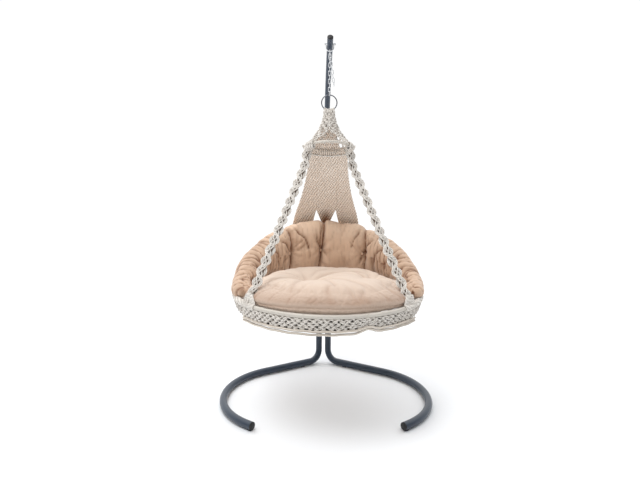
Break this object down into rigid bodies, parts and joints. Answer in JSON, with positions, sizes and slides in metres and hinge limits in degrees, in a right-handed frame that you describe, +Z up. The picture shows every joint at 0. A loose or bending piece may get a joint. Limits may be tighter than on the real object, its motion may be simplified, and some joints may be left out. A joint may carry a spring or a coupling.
{
  "type": "hanging nest chair with stand",
  "caption": "Round hanging seat of knotted cord on hoops, with soft cushions, on a chain under a C-shaped steel floor stand.",
  "frame": {"origin": "on the floor, under the middle of the whole object's box", "axes": "+Z up, -Y the way the seat faces, +X the seat's right as seen from the front"},
  "size_m": [1.11, 1.1638, 1.9291],
  "materials": {
    "powder_coat": "satin blue-grey powder coat on steel tube",
    "black_plastic": "black moulded caps and pads, light grain",
    "zinc": "bright zinc plate on steel hardware",
    "dark_steel": "dark steel wire, satin",
    "hoop_paint": "smooth cream paint on steel hoops",
    "cotton_cord": "knotted cream cotton cord",
    "panel_cord": "dense knotted cotton, warmer cream in its folds",
    "seat_fabric": "woven beige cotton-linen cover over soft filling"
  },
  "bodies": {
    "stand": {"pole": "powder_coat", "tip_cap": "black_plastic", "leg_left": "powder_coat", "foot_cap_left": "black_plastic", "riser_cap_left": "black_plastic", "heel_pad_left": "black_plastic", "foot_pad_left": "black_plastic", "leg_right": "powder_coat", "foot_cap_right": "black_plastic", "riser_cap_right": "black_plastic", "heel_pad_right": "black_plastic", "foot_pad_right": "black_plastic", "saddle_lower_left": "zinc", "saddle_lower_right": "zinc", "clamp_bolt_lower": "zinc", "clamp_nut_lower": "zinc", "saddle_upper_left": "zinc", "saddle_upper_right": "zinc", "clamp_bolt_upper": "zinc", "clamp_nut_upper": "zinc", "hanger_pin": "zinc", "hanger_nut": "zinc"},
    "stirrup": {"stirrup": "zinc"},
    "chain": {"master_link": "zinc", "chain_link_01": "zinc", "chain_link_02": "zinc", "chain_link_03": "zinc", "chain_link_04": "zinc", "chain_link_05": "zinc", "chain_link_06": "zinc", "chain_link_07": "zinc", "chain_link_08": "zinc", "chain_link_09": "zinc"},
    "spare_chain": {"spare_link_01": "zinc", "spare_link_02": "zinc", "spare_link_03": "zinc", "spare_link_04": "zinc", "spare_link_05": "zinc", "spare_link_06": "zinc", "spare_link_07": "zinc", "spare_link_08": "zinc"},
    "lower_link": {"chain_link_10": "zinc"},
    "seat": {"hanging_ring": "dark_steel", "top_hoop": "hoop_paint", "seat_hoop": "hoop_paint", "top_net": "cotton_cord", "rope_left": "cotton_cord", "rope_right": "cotton_cord", "back_panel": "panel_cord", "seat_net": "cotton_cord", "skirt": "cotton_cord", "seat_cushion": "seat_fabric", "back_bolster": "seat_fabric", "seat_button_1": "seat_fabric", "seat_button_2": "seat_fabric", "back_button_1": "seat_fabric", "back_button_2": "seat_fabric", "back_button_3": "seat_fabric"}
  },
  "joints": [
    {"name": "swing_fore_aft", "type": "hinge", "parent": "stand", "child": "stirrup", "pos_m": [0, -0.04165, 1.88838], "axis": [-1, 0, 0], "range_deg": [-4, 20]},
    {"name": "sway_sideways", "type": "hinge", "parent": "stirrup", "child": "chain", "pos_m": [0, -0.04165, 1.85578], "axis": [0, -1, 0], "range_deg": [-10, 10]},
    {"name": "chain_twist", "type": "hinge", "parent": "chain", "child": "lower_link", "pos_m": [0, -0.04165, 1.63502], "axis": [0, 0, 1], "range_deg": [-12, 12]},
    {"name": "seat_rock", "type": "hinge", "parent": "lower_link", "child": "seat", "pos_m": [0, -0.04165, 1.61672], "axis": [-1, 0, 0], "range_deg": [-1.5, 8]},
    {"name": "spare_end_lift", "type": "hinge", "parent": "chain", "child": "spare_chain", "pos_m": [0, -0.05065, 1.83579], "axis": [-1, 0, 0], "range_deg": [0, 20]}
  ]
}
